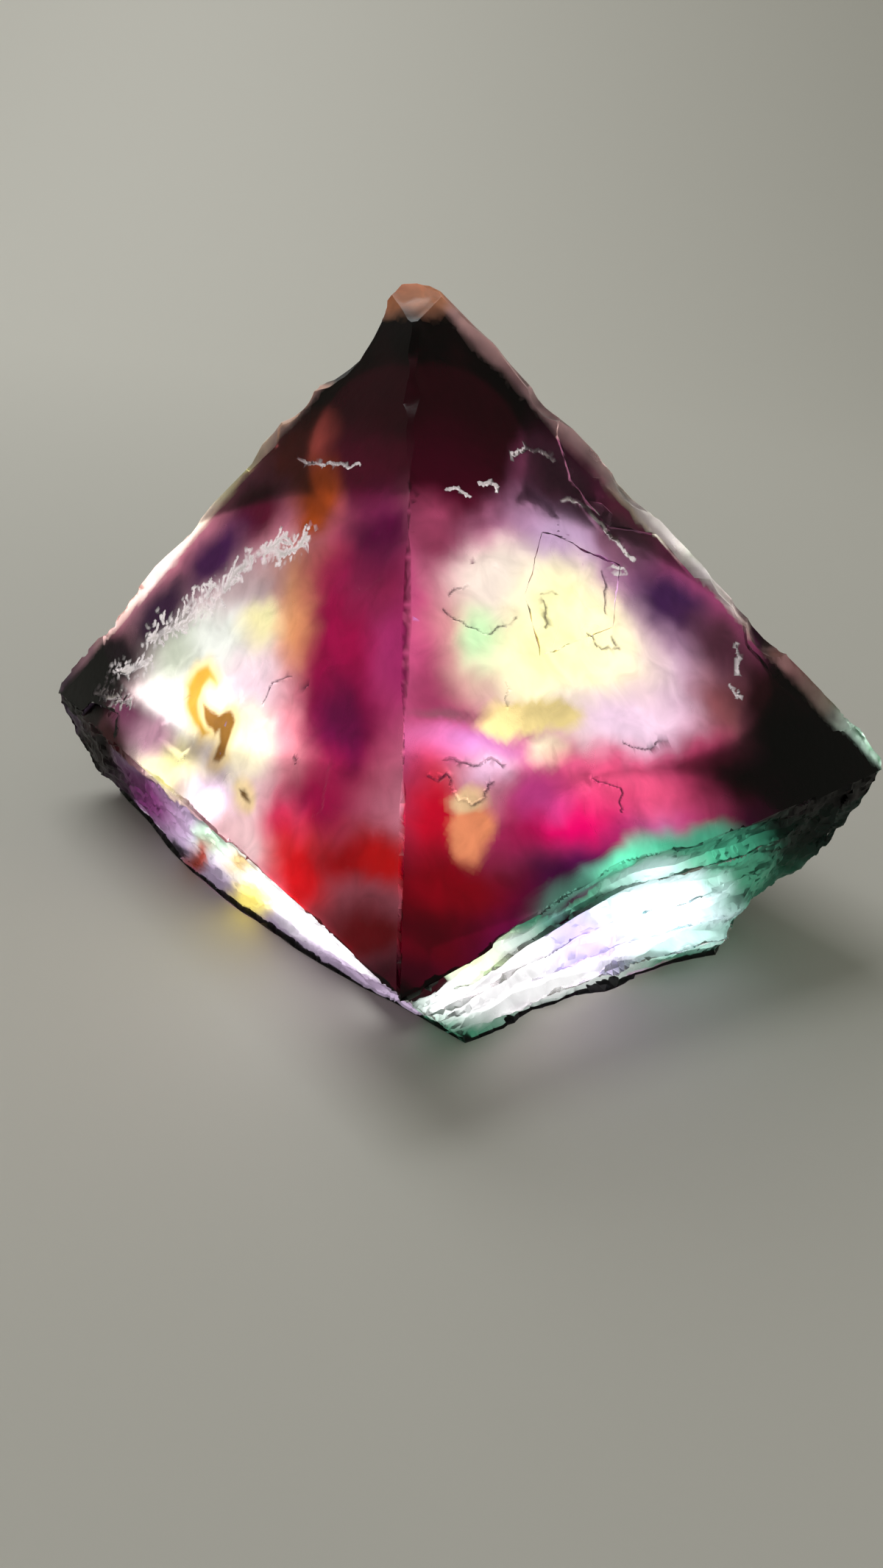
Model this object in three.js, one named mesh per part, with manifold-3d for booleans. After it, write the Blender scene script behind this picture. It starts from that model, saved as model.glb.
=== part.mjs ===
// A cleaved octahedron of fluorite, in millimetres, +Z up, standing on the flat break of its lowest corner.
// Its upper faces are clean cleavage planes. Its lower faces are rough, stepped fractures.
import * as THREE from 'three';
import { ConvexGeometry } from 'three/addons/geometries/ConvexGeometry.js';
import { ImprovedNoise } from 'three/addons/math/ImprovedNoise.js';
import { mergeVertices } from 'three/addons/utils/BufferGeometryUtils.js';
import Module from 'manifold-3d';

// Driving dimensions.
const EDGE = 90; // edge of the whole octahedron
const CENTRE_HEIGHT = 22.5; // its centre above the flat break it stands on
const LEAN = [7.42, -7.41, -4.86]; // how far it leans about x, y and z, in degrees
const HALF = EDGE / Math.SQRT2; // centre to corner

// How far each corner has grown away from the ideal one.
const DRIFT = {
  top: [-3.6, 0.9, 1.8],
  left: [-2.9, 1.4, 2.9],
  front: [1.6, 0.3, 0.7],
  right: [2.4, -1.6, -3.3],
  back: [0, 0, 0],
};

// The flat break it stands on, seen from above: x and y of its outline, from the left round the front.
const FOOT_LEFT = [[-54, 5], [-47, -4.4], [-37, -16.4], [-28.8, -24.6], [-15.9, -35.2], [6.1, -49.4]];
const FOOT_RIGHT = [[6.1, -49.4], [12.3, -44.6], [18.3, -39.5], [28.9, -31.5], [42.6, -22.4], [46, -9]];
const FOOT_BACK_RIGHT = [[46, -9], [41, 8], [27, 24], [9, 38]];
const FOOT_BACK_LEFT = [[9, 38], [-9, 39], [-27, 29], [-43, 17], [-54, 5]];

// The bite out of the front right edge: distance along the edge from the front corner, depth into the face above.
const BITE = [[0, 0], [8, 0.1], [13, 0.6], [16, 1.4], [22, 1.6], [28, 2.6], [35, 3.2], [41, 2.4], [49, 1.2], [58, 0.2],
  [68, 0], [89, 0]];

// The lower walls stand out a little below the side corners: points there, and how far out they hold the wall.
const SHOULDERS = [[59.8, -7, 16.5], [51.5, -9, 7.5], [-63.1, 6.3, 11.5], [-59.3, 5.6, 6]];
const SHOULDER_OUT = 6;

const EDGE_WEAR = [0.35, 1.15]; // least and most depth worn off an upper edge
const FOOT_MARGIN = 1.05; // how much wider the block's foot is than the finished one
const CUT_REACH = 16; // how far a cutting slab stands outside the crystal

const wasm = await Module();
wasm.setup();
const noise = new ImprovedNoise();
const vec = (x, y, z) => new THREE.Vector3(x, y, z);
const smooth = THREE.MathUtils.smoothstep;

// Signed volume of a triangle mesh, to see which way its faces point.
function signedVolume(points, triangles) {
  const [a, b, c] = [vec(), vec(), vec()];
  let sum = 0;
  for (let i = 0; i < triangles.length; i += 3) {
    a.fromArray(points, triangles[i] * 3);
    b.fromArray(points, triangles[i + 1] * 3);
    c.fromArray(points, triangles[i + 2] * 3);
    sum += a.dot(b.cross(c)) / 6;
  }
  return sum;
}

// A closed geometry as a solid, with its faces turned to point out.
function solidFrom(geometry) {
  const bare = geometry.clone();
  bare.deleteAttribute('normal');
  bare.deleteAttribute('uv');
  const merged = mergeVertices(bare, 1e-4);
  const vertProperties = new Float32Array(merged.attributes.position.array);
  const triVerts = new Uint32Array(merged.index.array);
  if (signedVolume(vertProperties, triVerts) < 0) triVerts.reverse();
  return new wasm.Manifold(new wasm.Mesh({ numProp: 3, vertProperties, triVerts }));
}

// A box bent to a surface: place(u, v) is its near side, and its far side is that moved by `away`.
function bentSlab(columns, rows, place, away) {
  const box = new THREE.BoxGeometry(1, 1, 1, columns, rows, 1);
  const at = box.attributes.position;
  for (let i = 0; i < at.count; i++) {
    const point = place(at.getX(i) + 0.5, at.getY(i) + 0.5);
    if (at.getZ(i) > 0) point.add(away);
    at.setXYZ(i, point.x, point.y, point.z);
  }
  return solidFrom(box);
}

// A value read off a list of [position, value] pairs, straight between them.
function readOff(pairs, position) {
  let i = 1;
  while (i < pairs.length - 1 && pairs[i][0] < position) i++;
  const [x0, y0] = pairs[i - 1];
  const [x1, y1] = pairs[i];
  return y0 + (y1 - y0) * THREE.MathUtils.clamp((position - x0) / (x1 - x0), 0, 1);
}

// A point at a share of the way along an outline on the ground. It runs on straight past both ends.
function alongOutline(outline, share) {
  const steps = outline.map(([x, y], i) => (i ? Math.hypot(x - outline[i - 1][0], y - outline[i - 1][1]) : 0));
  const total = steps.reduce((sum, step) => sum + step);
  let remaining = share * total;
  let i = 1;
  while (i < outline.length - 1 && remaining > steps[i]) remaining -= steps[i++];
  const from = vec(...outline[i - 1], 0);
  return from.lerp(vec(...outline[i], 0), remaining / steps[i]);
}

// The corners where they stand.
const ideal = { top: [0, 0, 1], left: [-1, 0, 0], front: [0, -1, 0], right: [1, 0, 0], back: [0, 1, 0] };
const lean = new THREE.Euler(...LEAN.map(THREE.MathUtils.degToRad), 'ZYX');
const corner = {};
for (const [name, place] of Object.entries(ideal)) {
  const drift = vec(...DRIFT[name]);
  corner[name] = vec(...place).multiplyScalar(HALF).applyEuler(lean).add(vec(0, 0, CENTRE_HEIGHT)).add(drift);
}
const { top, left, front, right, back } = corner;
const centre = vec(0, 0, CENTRE_HEIGHT);

// The outward direction of the face through three corners.
function faceNormal(a, b, c) {
  const normal = b.clone().sub(a).cross(c.clone().sub(a)).normalize();
  return normal.dot(a.clone().sub(centre)) < 0 ? normal.negate() : normal;
}

// The block before wear: the four upper faces, and below them walls down to a foot a little too wide.
function block() {
  const outlines = [...FOOT_LEFT, ...FOOT_RIGHT, ...FOOT_BACK_RIGHT, ...FOOT_BACK_LEFT];
  const foot = outlines.map(([x, y]) => vec(x * FOOT_MARGIN, y * FOOT_MARGIN, 0));
  const shoulders = SHOULDERS.map((place) => vec(...place));
  return solidFrom(new ConvexGeometry([top, left, front, right, back, ...shoulders, ...foot]));
}

// A rough lower wall, cut back between an upper edge and the foot. `surface(u, t)` gives how far down the
// wall a point lies, 0 at the edge and 1 at the foot, and how deep it is. Corners stay as they are, and the
// wall stands out below the end that `shoulder` gives, 0 for the first corner and 1 for the second.
function fractureWall({ from, to, outline, columns, rows, bite, shoulder, surface }) {
  const ahead = to.clone().sub(from);
  const length = ahead.length();
  const intoFace = faceNormal(from, to, top).cross(ahead).normalize();
  if (intoFace.dot(top.clone().sub(from)) < 0) intoFace.negate();
  const outward = ahead.clone().cross(vec(0, 0, 1)).normalize();
  if (outward.dot(from.clone().sub(centre)) < 0) outward.negate();
  const place = (s, t) => {
    const u = -0.06 + 1.12 * s;
    const [v, depth] = surface(u, t);
    const nearCorner = smooth(u, 0, 0.2) * smooth(1 - u, 0, 0.2);
    const nearEdge = smooth(v, -0.05, 0.12);
    const brow = from.clone().addScaledVector(ahead, u).addScaledVector(intoFace, bite(u * length));
    const point = brow.lerp(alongOutline(outline, u), v);
    const share = THREE.MathUtils.clamp(v, 0, 1);
    const bulge = 6.75 * share * (1 - share) ** 2; // 1 at a third of the way down
    const swell = SHOULDER_OUT * bulge * (1 - smooth(Math.abs(shoulder - u), 0, 0.15));
    return point.addScaledVector(outward, swell - 0.1 - depth * nearCorner * nearEdge);
  };
  return bentSlab(columns, rows, place, outward.clone().multiplyScalar(CUT_REACH));
}

// Steps that run along a wall: each cuts back as it goes down, then a ledge stands out again below it.
function stepped({ steps, depth, seed, fade }) {
  return (u, t) => {
    const row = Math.round(t * 2 * steps);
    const step = Math.floor(row / 2);
    const onLedge = row % 2;
    const wander = 0.5 * noise.noise(u * 2.6, step * 0.35 + seed, 0.5) + 0.28 * noise.noise(u * 8, step * 1.3 + seed, 4.5);
    const v = -0.2 + (1.4 * (step + 0.84 * onLedge + 0.9 * wander)) / steps;
    const size = 0.62 + 1.1 * noise.noise(u * 5.5, step * 1.7 + seed, 2.5);
    const grain = 0.22 * noise.noise(u * 15, row * 0.9, seed + 8);
    const set = onLedge ? Math.max(0.05, size) : -0.35 * Math.max(0, size);
    return [v, depth * (set + grain) * fade(u)];
  };
}

// Hollows and swells with no direction of their own.
function hummocky({ depth, seed }) {
  return (u, t) => {
    const v = -0.25 + 1.45 * t;
    const swell = noise.noise(u * 3.4, v * 1.6, seed) + 0.6 * noise.noise(u * 10, v * 3.5, seed + 3);
    return [v, depth * swell];
  };
}

// The worn bevel along an edge between two corners, of uneven depth.
function wornEdge(a, b, seed, [least, most] = EDGE_WEAR) {
  const along = b.clone().sub(a);
  const outward = a.clone().lerp(b, 0.5).sub(centre).normalize();
  outward.addScaledVector(along, -outward.dot(along) / along.lengthSq()).normalize();
  const across = outward.clone().cross(along).normalize();
  const place = (u, v) => {
    const depth = least + (most - least) * Math.abs(1.6 * noise.noise(u * 9, seed, 0.3));
    const slant = 0.25 * noise.noise(u * 6, seed + 5, 0.3);
    const side = (v - 0.5) * 14;
    return a.clone().addScaledVector(along, -0.02 + 1.04 * u)
      .addScaledVector(across, side).addScaledVector(outward, side * slant - depth);
  };
  return bentSlab(16, 1, place, outward.clone().multiplyScalar(CUT_REACH));
}

// A corner broken off flat, at the given distances from it along three of its edges.
function brokenCorner(at, cuts) {
  const [a, b, c] = cuts.map(([other, distance]) => at.clone().lerp(other, distance / at.distanceTo(other)));
  const outward = b.clone().sub(a).cross(c.clone().sub(a)).normalize();
  if (outward.dot(at.clone().sub(a)) < 0) outward.negate();
  const middle = a.clone().add(b).add(c).divideScalar(3);
  const box = new THREE.BoxGeometry(40, 40, CUT_REACH).translate(0, 0, CUT_REACH / 2);
  box.applyQuaternion(new THREE.Quaternion().setFromUnitVectors(vec(0, 0, 1), outward));
  return solidFrom(box.translate(middle.x, middle.y, middle.z));
}

// A thin layer lifted off a face, down to a parallel cleavage plane. The outline is in millimetres on the
// face: along it from one corner towards the next, and in from that edge.
function cleavageFlake([a, b, c], outline, depth) {
  const normal = faceNormal(a, b, c);
  const along = b.clone().sub(a).normalize();
  const inward = normal.clone().cross(along);
  if (inward.dot(c.clone().sub(a)) < 0) inward.negate();
  const floor = new THREE.Shape(outline.map(([x, y]) => new THREE.Vector2(x, y)));
  const flake = new THREE.ExtrudeGeometry(floor, { depth: CUT_REACH, bevelEnabled: false });
  const onFace = new THREE.Matrix4().makeBasis(along, inward, normal);
  onFace.setPosition(a.clone().addScaledVector(normal, -depth));
  return solidFrom(flake.applyMatrix4(onFace));
}

// A shell-shaped chip: a ball laid so that it bites `depth` below the point, from the outside.
function conchoidalChip(point, outward, radius, depth) {
  const ball = new THREE.IcosahedronGeometry(radius, 4);
  const middle = point.clone().addScaledVector(outward.clone().normalize(), radius - depth);
  return solidFrom(ball.translate(middle.x, middle.y, middle.z));
}

const pointOn = (a, b, distance) => a.clone().lerp(b, distance / a.distanceTo(b));
const outFrom = (point) => point.clone().sub(centre).normalize();

// The lower walls. The front right one is bitten deepest, in long steps that die out towards the right corner.
const walls = [
  fractureWall({
    from: front, to: right, outline: FOOT_RIGHT, columns: 34, rows: 14,
    bite: (distance) => readOff(BITE, distance), shoulder: 1,
    surface: stepped({ steps: 7, depth: 1.9, seed: 1.5, fade: (u) => 1 - 0.9 * smooth(u, 0.7, 0.86) }),
  }),
  fractureWall({
    from: left, to: front, outline: FOOT_LEFT, columns: 22, rows: 6,
    bite: () => 0, shoulder: 0, surface: hummocky({ depth: 1.6, seed: 12.5 }),
  }),
  fractureWall({
    from: right, to: back, outline: FOOT_BACK_RIGHT, columns: 22, rows: 10,
    bite: () => 0, shoulder: 0, surface: stepped({ steps: 5, depth: 1.9, seed: 22.5, fade: () => 1 }),
  }),
  fractureWall({
    from: back, to: left, outline: FOOT_BACK_LEFT, columns: 20, rows: 8,
    bite: () => 0, shoulder: 1, surface: stepped({ steps: 4, depth: 1.6, seed: 33.2, fade: () => 1 }),
  }),
];

// The edges between the upper faces and round the back. The front ridge is nearly fresh.
const edges = [
  wornEdge(top, left, 41.5),
  wornEdge(top, right, 47.5),
  wornEdge(top, back, 53.5),
  wornEdge(top, front, 59.5, [0.12, 0.4]),
  wornEdge(left, back, 65.5),
  wornEdge(back, right, 71.5),
];

// The blunted corners: a steep little facet with a cap on the top, two facets on each side corner.
const corners = [
  brokenCorner(top, [[left, 5], [front, 9.5], [right, 5.5]]),
  brokenCorner(top, [[left, 3.4], [back, 4.2], [front, 4.6]]),
  brokenCorner(left, [[top, 4.3], [front, 3], [vec(...FOOT_LEFT[0], 0), 1.6]]),
  brokenCorner(left, [[top, 5], [back, 7], [vec(...FOOT_LEFT[0], 0), 3]]),
  brokenCorner(right, [[top, 3], [front, 2.6], [vec(...FOOT_RIGHT.at(-1), 0), 4]]),
  brokenCorner(back, [[top, 4.5], [left, 3.2], [right, 4]]),
];

// Thin layers missing from the upper faces, with steps that follow the crystal's own directions.
const flakes = [
  cleavageFlake([top, right, front], [[24, -4], [63, -4], [55, 3.2], [47, 2.6], [41, 7.5], [33, 6.6], [28, 3]], 0.8),
  cleavageFlake([top, right, front], [[60, -4], [92, -4], [86, 4.4], [74, 5.5], [67, 4.2]], 1.1),
  cleavageFlake([top, right, front], [[34, 16], [45, 11], [49, 19], [43, 30], [37, 25]], 0.45),
  cleavageFlake([top, left, front], [[8, -4], [19, -4], [17, 2.2], [12, 3.1]], 1.2),
  cleavageFlake([top, left, front], [[26, -4], [39, -4], [36, 2.6], [30, 3.4]], 0.8),
  cleavageFlake([left, front, top], [[9, -4], [24, -4], [21, 3.4], [13, 2.2]], 0.7),
  cleavageFlake([top, back, right], [[30, -5], [96, -5], [60, 38], [47, 21], [38, 24]], 1.3),
  cleavageFlake([top, back, right], [[62, -5], [96, -5], [74, 24], [67, 12]], 2.4),
  cleavageFlake([left, back, top], [[-4, -4], [54, -4], [47, 9], [36, 12], [28, 24], [18, 20], [8, 24]], 1.1),
  cleavageFlake([left, back, top], [[60, -4], [84, -4], [76, 8], [66, 6]], 1.9),
];

// Shell-shaped chips along the edges, from small to large.
const CHIPS = [
  [top, left, 12, 6, 1.6], [top, left, 18, 12, 2.9], [top, left, 26, 7, 1.8], [top, left, 49, 10, 1.3],
  [top, left, 70, 6, 1], [top, right, 25.5, 4.5, 1.6], [top, right, 42, 8, 1.4], [top, right, 64, 5, 1.9],
  [top, right, 68, 6, 2.4], [top, back, 30, 12, 2.4], [top, back, 66, 8, 1.5],
  [left, back, 24, 11, 2.2], [left, back, 71, 8, 1.6], [back, right, 33, 13, 2.6], [back, right, 62, 9, 1.6],
];
const chips = CHIPS.map(([a, b, distance, radius, depth]) => {
  const point = pointOn(a, b, distance);
  return conchoidalChip(point, outFrom(point), radius, depth);
});

// The flat break has two shallow steps in it.
const underside = [
  [[-60, 8], [-30, -2], [-22, 12], [-34, 40], [-60, 40], 0.9],
  [[18, 50], [10, 22], [24, 6], [60, 2], [60, 50], 1.4],
].map((entry) => {
  const height = entry.at(-1);
  const outline = new THREE.Shape(entry.slice(0, -1).map(([x, y]) => new THREE.Vector2(x, y)));
  const slab = new THREE.ExtrudeGeometry(outline, { depth: CUT_REACH, bevelEnabled: false });
  return solidFrom(slab.translate(0, 0, height - CUT_REACH));
});

// The crystal, cut and then centred over the origin with its lowest face at z = 0.
let crystal = block();
for (const cut of [...walls, ...edges, ...corners, ...flakes, ...chips, ...underside]) {
  crystal = crystal.subtract(cut);
}
const pieces = crystal.decompose().sort((a, b) => b.volume() - a.volume());
const { vertProperties, triVerts } = pieces[0].getMesh();
const geometry = new THREE.BufferGeometry();
geometry.setAttribute('position', new THREE.Float32BufferAttribute(vertProperties, 3));
geometry.setIndex(Array.from(triVerts));
geometry.computeBoundingBox();
const box = geometry.boundingBox;
geometry.translate(-(box.min.x + box.max.x) / 2, -(box.min.y + box.max.y) / 2, -box.min.z);
geometry.computeVertexNormals();

const fluorite = new THREE.MeshStandardMaterial({ color: 0xa8487e, roughness: 0.1, metalness: 0 });
const octahedron = new THREE.Mesh(geometry, fluorite);
octahedron.name = 'fluorite_octahedron';

const group = new THREE.Group();
group.add(octahedron);
export default group;
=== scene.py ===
from math import radians

import bpy
import numpy as np
from mathutils import Matrix, Vector, noise


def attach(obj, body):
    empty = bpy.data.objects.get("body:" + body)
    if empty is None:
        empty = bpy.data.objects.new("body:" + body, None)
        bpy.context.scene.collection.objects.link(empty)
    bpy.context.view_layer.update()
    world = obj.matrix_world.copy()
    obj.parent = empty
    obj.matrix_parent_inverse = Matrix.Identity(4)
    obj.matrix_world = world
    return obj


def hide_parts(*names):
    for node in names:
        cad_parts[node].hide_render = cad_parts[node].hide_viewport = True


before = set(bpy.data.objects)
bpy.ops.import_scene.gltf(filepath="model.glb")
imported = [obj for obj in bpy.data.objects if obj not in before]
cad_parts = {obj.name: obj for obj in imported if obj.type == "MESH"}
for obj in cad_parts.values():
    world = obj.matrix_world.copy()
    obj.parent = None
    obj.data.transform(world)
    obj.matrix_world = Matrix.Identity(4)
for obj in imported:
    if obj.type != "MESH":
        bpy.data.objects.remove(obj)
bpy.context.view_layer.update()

# The crystal's body. One octahedron of fluorite, cleaved along its natural planes and broken off below, so that
# it leans on a flat break. Its mesh starts as a copy of the solid, and every long edge is split until the
# surface can take fine relief.
MM = 0.001
EDGE = 90.0  # mm along a sharp edge, from corner to corner
CORNER = {  # mm, before wear
    "top": (-11.88, -5.89, 86.9),
    "left": (-65.28, 7.41, 17.2),
    "front": (-2.18, -61.99, 15.0),
    "right": (65.72, -6.29, 27.4),
    "back": (4.82, 63.71, 30.6),
}
FOOT_RIGHT = (18.82, -38.79, 0.0)  # a point of the foot under the front right edge, mm
FOOT_LEFT = (-28.28, -23.89, 0.0)  # and one under the front left edge
CENTRE = np.array((0.52, 0.71, 22.5))  # mm


class Plane:
    """A flat side: x runs along its lower edge from the first corner, y in towards the third point."""

    def __init__(self, first, second, third):
        self.origin = np.array(first)
        self.along = np.array(second) - self.origin
        self.width = np.linalg.norm(self.along)
        self.along = self.along / self.width
        self.out = np.cross(self.along, np.array(third) - self.origin)
        self.out = self.out / np.linalg.norm(self.out)
        if self.out @ (self.origin - CENTRE) < 0:
            self.out = -self.out
        self.up = np.cross(self.out, self.along)
        if self.up @ (np.array(third) - self.origin) < 0:
            self.up = -self.up

    def place(self, points):
        """x, y and height above the plane for each point, in mm."""
        offset = points - self.origin
        return offset @ self.along, offset @ self.up, offset @ self.out


front_right = Plane(CORNER["front"], CORNER["right"], CORNER["top"])
front_left = Plane(CORNER["left"], CORNER["front"], CORNER["top"])
back_right = Plane(CORNER["right"], CORNER["back"], CORNER["top"])
back_left = Plane(CORNER["back"], CORNER["left"], CORNER["top"])
wall_right = Plane(CORNER["front"], CORNER["right"], FOOT_RIGHT)
wall_left = Plane(CORNER["left"], CORNER["front"], FOOT_LEFT)

# Cracks and healed fractures that show on the two front faces: side, width and course, in mm on that face.
SILVER_LINES = [
    (front_right, 0.30, [(46.5, 49.5), (50.5, 48), (52, 44), (53.5, 41), (55, 39.5)]),
    (front_right, 0.22, [(41.5, 56.5), (44, 57), (46, 56.5), (47.5, 55)]),
    (front_right, 0.20, [(30, 54), (31.5, 54), (33, 52.5)]),
    (front_right, 0.20, [(35, 54), (36.5, 54), (37.5, 53)]),
    (front_right, 0.20, [(51, 39.5), (52.5, 39), (52.5, 38), (51, 38.5)]),
    (front_right, 0.22, [(63, 19.5), (63.5, 17.5), (64, 18.5)]),
    (front_right, 0.20, [(65, 20.5), (66.5, 23), (67, 25)]),
    (front_left, 0.22, [(37.5, 49), (42, 49), (46, 50), (50, 51)]),
]
FEATHERED_LINES = [  # side, width, length of the side branches, course
    (front_left, 0.34, 1.0, [(21, 16), (24.5, 18.5), (27.5, 21), (31.5, 24.5), (33.5, 27.5), (34.5, 30.5),
                             (36, 33), (37.5, 34.5), (40, 37), (42, 39)]),
    (front_left, 0.26, 0.8, [(15.5, 8.5), (20, 11), (23, 13), (24, 14)]),
    (front_left, 0.22, 0.7, [(13, 4), (17, 5), (20, 6), (23, 7)]),
    (front_left, 0.30, 0.9, [(39, 36.5), (42.5, 36.5), (45, 38), (46, 40)]),
    (front_left, 0.24, 0.9, [(27, 22), (27.5, 25), (29.5, 24.5), (31.5, 28)]),
    (front_left, 0.24, 0.8, [(23, 19.5), (22, 20)]),
]
DARK_LINES = [
    (front_right, 0.24, [(25, 41.5), (26.5, 42), (28, 42)]),
    (front_right, 0.22, [(23.5, 40), (24.5, 38.5), (26.5, 37), (27.5, 36), (31.5, 36), (33, 36.5)]),
    (front_right, 0.20, [(38, 37.5), (37.5, 35.5), (37, 34.5)]),
    (front_right, 0.18, [(38, 38.5), (40.5, 38)]),
    (front_right, 0.22, [(49.5, 39), (49, 37), (47, 34)]),
    (front_right, 0.22, [(43, 32), (44.5, 29.5), (47, 28.5), (46.5, 30.5)]),
    (front_right, 0.26, [(13.5, 22), (14.5, 21), (16, 21.5), (16, 20), (16, 18), (17.5, 17), (19.5, 17),
                         (20.5, 18), (21.5, 18.5)]),
    (front_right, 0.20, [(16.5, 23), (19.5, 21.5), (22.5, 21), (23.5, 20)]),
    (front_right, 0.20, [(35.5, 14.5), (36.5, 13.5), (39, 12), (38.5, 9.5), (38, 9)]),
    (front_right, 0.18, [(42, 17.5), (45.5, 15.5), (49, 15.5)]),
    (front_right, 0.16, [(28.5, 29.5), (27.5, 26.5)]),
    (front_left, 0.20, [(51.5, 18.5), (52, 20.5), (53, 22), (55, 23.5)]),
    (front_left, 0.16, [(57, 23), (58.5, 24)]),
    (front_left, 0.16, [(61.5, 15), (62.5, 14.5)]),
]
BRANCH_SPACING = 0.55  # mm
BIT_LENGTH = 0.9  # mm between the bends of a crooked line
FROST_REACH = 2.2  # mm
rng = np.random.default_rng(7)


def feathers(line, reach):
    """Short side branches along a line, as a healed fracture has."""
    twigs = []
    for (x0, y0), (x1, y1) in zip(line[:-1], line[1:]):
        length = np.hypot(x1 - x0, y1 - y0)
        heading = np.arctan2(y1 - y0, x1 - x0)
        for share in np.arange(0.1, 1.0, BRANCH_SPACING / length):
            side = rng.choice((-1, 1))
            turn = heading + side * rng.uniform(0.5, 1.2)
            size = reach * rng.uniform(0.6, 2.6)
            x, y = x0 + share * (x1 - x0), y0 + share * (y1 - y0)
            bend = turn + side * rng.uniform(-0.5, 0.4)
            middle = (x + 0.5 * size * np.cos(turn), y + 0.5 * size * np.sin(turn))
            end = (middle[0] + 0.5 * size * np.cos(bend), middle[1] + 0.5 * size * np.sin(bend))
            twigs.append([(x, y), middle, end])
    return twigs


def crooked(line, sway):
    """The same line with a ragged course."""
    ragged = [line[0]]
    for (x0, y0), (x1, y1) in zip(line[:-1], line[1:]):
        bits = max(2, round(np.hypot(x1 - x0, y1 - y0) / BIT_LENGTH))
        for bit in range(1, bits + 1):
            loose = 0 if bit == bits else sway
            share = bit / bits
            ragged.append((x0 + share * (x1 - x0) + rng.uniform(-loose, loose),
                           y0 + share * (y1 - y0) + rng.uniform(-loose, loose)))
    return ragged


silver = [(side, 0.6 * width, crooked(line, 0.3)) for side, width, line in SILVER_LINES]
frosted = [(side, FROST_REACH, line) for side, _, _, line in FEATHERED_LINES]
for side, width, reach, line in FEATHERED_LINES:
    silver.append((side, width, crooked(line, 0.35)))
    silver.extend((side, 0.5 * width, crooked(twig, 0.15)) for twig in feathers(line, reach))
dark = [(side, 0.7 * width, crooked(line, 0.35)) for side, width, line in DARK_LINES]
# A thin lavender flake that lifts off the right face.
LAVENDER_FLAKE = [
    (45.25, 47.5), (46.5, 44.25), (46.75, 40), (47.25, 35.25), (43.25, 36), (43.5, 40), (44, 44.75),
]
# Ochre mud sealed in near the left corner: a crescent, a knot and a spot.
OCHRE_CRESCENT = [
    (37.75, 18.25), (35.75, 16.75), (35, 14.25), (36.25, 11.75), (39.75, 10), (43, 9.25), (44, 10.25),
    (40.75, 11.25), (38.5, 13), (38.25, 15), (39, 16.75), (41, 17.25),
]
OCHRE_KNOT = [
    (39.75, 13.25), (42.75, 13.5), (44.75, 13.5), (46.25, 14.75), (48, 13.75), (48.5, 11.75),
    (49, 9.5), (48, 8.25), (46.75, 8.25), (47, 10.5), (46, 11.75), (45.25, 10.75), (43.25, 11.25),
    (41.5, 12),
]
OCHRE_SPOT = [(54.25, 7.25), (55.5, 7.5), (57.25, 6.75), (56.25, 6.5), (55.25, 6.5)]
fine_edges = [(front_right, 0.3, LAVENDER_FLAKE + LAVENDER_FLAKE[:1])]
for outline in (OCHRE_CRESCENT, OCHRE_KNOT, OCHRE_SPOT):
    fine_edges.append((front_left, 0.4, outline + outline[:1]))


FAR = 1e3  # mm, further than any point of the crystal


def line_distance(x, y, line):
    """How far each point lies from a bent line, in mm."""
    nearest = np.full(x.shape, FAR)
    for (x0, y0), (x1, y1) in zip(line[:-1], line[1:]):
        dx, dy = x1 - x0, y1 - y0
        share = np.clip(((x - x0) * dx + (y - y0) * dy) / (dx * dx + dy * dy), 0, 1)
        nearest = np.minimum(nearest, np.hypot(x - x0 - share * dx, y - y0 - share * dy))
    return nearest


def smooth(value, low, high):
    """0 up to low, 1 from high, and a soft rise between them."""
    share = np.clip((value - low) / (high - low), 0, 1)
    return share * share * (3 - 2 * share)


SAME_PLACE = 2e-6  # m
FLAT = radians(0.4)  # faces that meet at less than this are one plane
bpy.ops.object.select_all(action="DESELECT")
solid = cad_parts["fluorite_octahedron"]
crystal = bpy.data.objects.new("fluorite_crystal", solid.data.copy())
bpy.context.scene.collection.objects.link(crystal)
crystal.data.materials.clear()
bpy.context.view_layer.objects.active = crystal
crystal.select_set(True)
bpy.ops.mesh.customdata_custom_splitnormals_clear()
bpy.ops.object.mode_set(mode="EDIT")
bpy.ops.mesh.select_all(action="SELECT")
bpy.ops.mesh.remove_doubles(threshold=SAME_PLACE)
bpy.ops.mesh.dissolve_limited(angle_limit=FLAT)
bpy.ops.mesh.quads_convert_to_tris(quad_method="BEAUTY", ngon_method="BEAUTY")
bpy.ops.object.mode_set(mode="OBJECT")


def points_of(mesh):
    """Every vertex, in mm."""
    values = np.empty(len(mesh.vertices) * 3)
    mesh.vertices.foreach_get("co", values)
    return values.reshape(-1, 3) / MM


LINE_REACH = 1.5  # mm round a line, and under its face, that belong to it


def crack_gap(points, lines):
    """How far each point is from the nearest line on its side, in widths of that line."""
    nearest = np.full(len(points), FAR)
    for side in (front_right, front_left):
        x, y, height = side.place(points)
        near = np.flatnonzero(np.abs(height) < LINE_REACH)
        x, y = x[near], y[near]
        for width, line in ((width, line) for owner, width, line in lines if owner is side):
            low_x, low_y = np.min(line, axis=0) - LINE_REACH
            high_x, high_y = np.max(line, axis=0) + LINE_REACH
            close = np.flatnonzero((x > low_x) & (x < high_x) & (y > low_y) & (y < high_y))
            gap = line_distance(x[close], y[close], line) / width
            nearest[near[close]] = np.minimum(nearest[near[close]], gap)
    return nearest


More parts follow.
